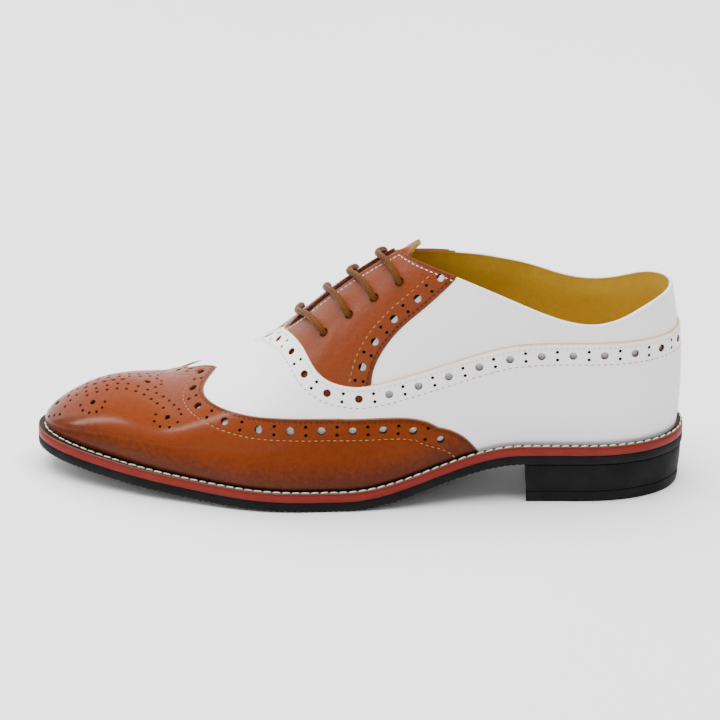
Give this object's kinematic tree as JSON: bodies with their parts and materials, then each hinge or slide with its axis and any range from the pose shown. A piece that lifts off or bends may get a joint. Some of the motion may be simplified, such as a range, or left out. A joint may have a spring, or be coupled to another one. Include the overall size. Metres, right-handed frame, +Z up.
{
  "type": "lace-up shoe",
  "caption": "Two-tone lace-up dress shoe with a punched wing cap, closed throat, loose lace bars, hollow upper and a layered rubber sole with a block heel.",
  "frame": {"origin": "on the floor, under the middle of the bounding box", "axes": "+X towards the toe, +Y towards the outer (lateral) side of this left shoe, +Z up"},
  "size_m": [0.3016, 0.1008, 0.1245],
  "materials": {
    "black_rubber": "matte black rubber",
    "red_rubber": "satin brick red edge",
    "welt_leather": "dark dyed leather",
    "lining_leather": "mustard lining leather",
    "white_leather": "smooth white leather",
    "brown_leather": "burnished cognac leather, glossy",
    "tongue_leather": "cognac leather",
    "lace_cord": "waxed round cord"
  },
  "bodies": {
    "root": {"outsole": "black_rubber", "heel": "black_rubber", "midsole": "red_rubber", "welt": "welt_leather", "insole": "lining_leather", "upper": "white_leather", "vamp": "white_leather", "wing_cap": "brown_leather", "facing_lateral": "brown_leather", "facing_medial": "brown_leather", "tongue": "tongue_leather", "lace_bar_1": "lace_cord", "lace_bar_2": "lace_cord", "lace_bar_3": "lace_cord", "lace_bar_4": "lace_cord"}
  },
  "joints": []
}
